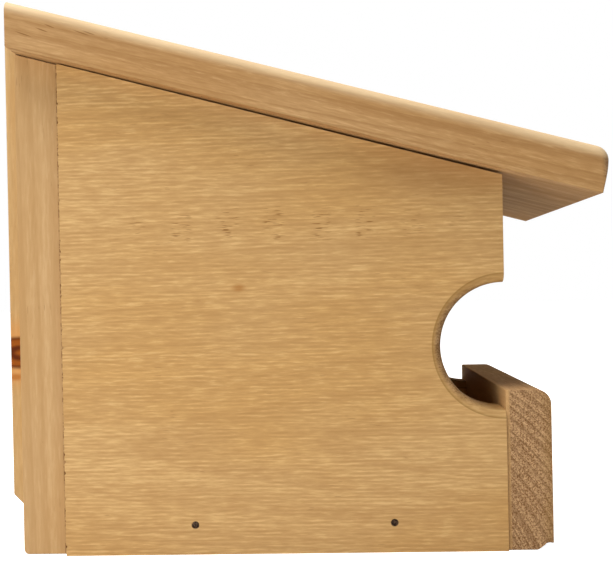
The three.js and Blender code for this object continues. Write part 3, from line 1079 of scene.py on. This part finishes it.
# %% Turn a nail
def turned(profile, steps):
    """A closed solid turned about Z from a list of (radius, height) points."""
    bm = bmesh.new()
    points = [bm.verts.new((radius, 0, height)) for radius, height in profile]
    chain = [bm.edges.new(pair) for pair in zip(points, points[1:])]
    bmesh.ops.spin(
        bm,
        geom=points + chain,
        cent=(0, 0, 0),
        axis=(0, 0, 1),
        dvec=(0, 0, 0),
        angle=math.tau,
        steps=steps,
        use_merge=True,
    )
    bmesh.ops.remove_doubles(bm, verts=bm.verts, dist=MERGE_DISTANCE)
    return bm


def nail_body():
    """A lost-head nail, its head up and just below Z = 0."""
    profile = [
        (0, -0.10),
        (0.9, -0.13),
        (1.3, -0.22),
        (1.45, -0.42),
        (1.45, -1.5),
        (1.1, -2.1),
        (1.1, -42),
        (0, -45),
    ]
    return turned([(radius * MM, height * MM) for radius, height in profile], 24)


def drive(bm, head, facing):
    """Turns a fastener from upright so that its head faces outwards, and moves it to its hole."""
    turn = Vector((0, 0, 1)).rotation_difference(facing).to_matrix().to_4x4()
    bmesh.ops.transform(bm, matrix=Matrix.Translation(head) @ turn, verts=bm.verts)
    return bm


nail_rows = [("floor_nail", 2, None), ("front_nail", 2, Vector((0, -1, 0)))]
nail_rows += [("back_nail", 3, Vector((0, 1, 0))), ("roof_nail", 3, roof_up)]
for row, count, facing in nail_rows:
    for side, word in ((LEFT, "left"), (RIGHT, "right")):
        for number in range(1, count + 1):
            node = f"{row}_{word}_{number}"
            out = facing or Vector((side, 0, 0))
            middle = box_middle(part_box(node))
            head = middle + out * (farthest(node, out) - middle).dot(out)
            nail = drive(nail_body(), head, out)
            finish_piece(f"driven_{node}", nail, nail_steel, "nail_steel", node)

# %% [markdown]
# The batten's screws have a flat head that sits just under the wood's face, with a cross recess
# for the driver. The head is a disc whose top face has a cross cut out: the circle and the cross are
# two loops, the space between them is filled, and the cross is extruded down.

# %% Cross-head screws
def screw_body():
    """A flat-head wood screw with a cross recess, its head up and just below Z = 0."""
    profile = [(3.55, -0.25), (3.55, -0.6), (1.7, -2.4), (1.7, -26), (0, -30)]
    bm = turned([(radius * MM, height * MM) for radius, height in profile], 32)
    rim = [e for e in bm.edges if e.is_boundary]
    cross = cross_loop(bm, 1.9 * MM, 0.42 * MM, -0.25 * MM)
    bmesh.ops.triangle_fill(bm, use_beauty=True, use_dissolve=False, edges=rim + cross)
    inner = bmesh.ops.extrude_edge_only(bm, edges=cross)
    sunk = corners_of(inner["geom"])
    bmesh.ops.translate(bm, verts=sunk, vec=(0, 0, -1.1 * MM))
    bmesh.ops.scale(bm, vec=(0.7, 0.7, 1.0), verts=sunk)
    bottom = [item for item in inner["geom"] if isinstance(item, bmesh.types.BMEdge)]
    bottom = [e for e in bottom if e.verts[0] in sunk and e.verts[1] in sunk]
    bmesh.ops.edgeloop_fill(bm, edges=bottom)
    return bm


def cross_loop(bm, reach, half_width, height):
    """A closed loop of edges in the shape of a plus sign."""
    quarter = [(reach, -half_width), (reach, half_width), (half_width, half_width)]
    points = []
    for turn in range(4):
        spin = Matrix.Rotation(turn * math.pi / 2, 2)
        points += [spin @ Vector(corner) for corner in quarter]
    loop = [bm.verts.new((x, y, height)) for x, y in points]
    return [bm.edges.new((loop[i], loop[(i + 1) % len(loop)])) for i in range(len(loop))]


for number in (1, 2):
    node = f"batten_screw_{number}"
    head = box_middle(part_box(node))
    head.y = batten_high.y
    screw = drive(screw_body(), head, Vector((0, 1, 0)))
    finish_piece(f"driven_{node}", screw, screw_steel, "screw_steel", node)

# %% [markdown]
# ## Floor, light and camera
#
# The box stands on a plain pale surface in a bright, even studio. One large soft light hangs above
# and a little behind, so the roof's edge shines and the roof shades the top of the panel. A small
# one lights the side panel, and a weak one keeps the front from going dark. The world is white
# where the camera sees it and dimmer as a light, so that the inside stays dark.

# %% Ground
def pale_ground():
    """A wide pale disc under the box."""
    bm = bmesh.new()
    bmesh.ops.create_circle(bm, cap_ends=True, radius=6.0, segments=96)
    mesh = bpy.data.meshes.new("ground")
    bm.to_mesh(mesh)
    bm.free()
    ground = bpy.data.objects.new("ground", mesh)
    bpy.context.scene.collection.objects.link(ground)
    material = bpy.data.materials.new("ground_paint")
    material.use_nodes = True
    tree = material.node_tree
    shader = tree.nodes["Principled BSDF"]
    shader.inputs["Base Color"].default_value = (0.72, 0.70, 0.66, 1.0)
    shader.inputs["Roughness"].default_value = 0.9
    shader.inputs["Emission Color"].default_value = (1.0, 1.0, 1.0, 1.0)
    path = shader_node(tree, "ShaderNodeLightPath")
    tree.links.new(path.outputs["Is Camera Ray"], shader.inputs["Emission Strength"])
    mesh.materials.append(material)


pale_ground()

# %% World and lights
WORLD_LIGHT = 0.14


def white_world():
    """White to the camera, and a dimmer grey as a light."""
    world = bpy.data.worlds.new("studio")
    bpy.context.scene.world = world
    world.use_nodes = True
    tree = world.node_tree
    background = tree.nodes["Background"]
    path = shader_node(tree, "ShaderNodeLightPath")
    strength = fade(tree, path.outputs["Is Camera Ray"], 0.0, 1.0, WORLD_LIGHT, 1.0)
    background.inputs["Color"].default_value = (1.0, 1.0, 1.0, 1.0)
    tree.links.new(strength, background.inputs["Strength"])


def soft_light(name, place, target, size, power):
    """A square area light that faces a target."""
    data = bpy.data.lights.new(name, "AREA")
    data.size = size
    data.energy = power
    lamp = bpy.data.objects.new(name, data)
    bpy.context.scene.collection.objects.link(lamp)
    lamp.location = place
    lamp.rotation_euler = (Vector(target) - Vector(place)).to_track_quat("-Z", "Y").to_euler()


box_centre = (Vector(cad_size[0]) + Vector(cad_size[1])) / 2
white_world()
soft_light("overhead", box_centre + Vector((-0.20, 0.22, 1.10)), box_centre, 0.9, 21.5)
soft_light("key", box_centre + Vector((-0.52, 0.28, -0.05)), box_centre, 0.30, 1.64)
soft_light("fill", box_centre + Vector((0.55, -0.75, 0.50)), box_centre, 0.8, 2.2)
bpy.context.scene.view_settings.view_transform = "Standard"

# %% Camera
CAMERA_PLACE = Vector((-429.4, -20.0, 105.8)) * MM
CAMERA_HEADING = math.radians(-88.36)
CAMERA_TILT = math.radians(-0.28)
CAMERA_ROLL = math.radians(-1.12)
camera_data = bpy.data.cameras.new("camera")
camera_data.lens = 53.16
camera_data.sensor_width = 36.0
camera_data.shift_x = -0.0063
camera_data.shift_y = 0.0246
camera_data.clip_start = 0.01
camera = bpy.data.objects.new("camera", camera_data)
bpy.context.scene.collection.objects.link(camera)
heading = Matrix.Rotation(CAMERA_HEADING, 4, "Z")
tilt = Matrix.Rotation(math.radians(90) + CAMERA_TILT, 4, "X")
roll = Matrix.Rotation(CAMERA_ROLL, 4, "Z")
camera.matrix_world = Matrix.Translation(CAMERA_PLACE) @ heading @ tilt @ roll
bpy.context.scene.camera = camera
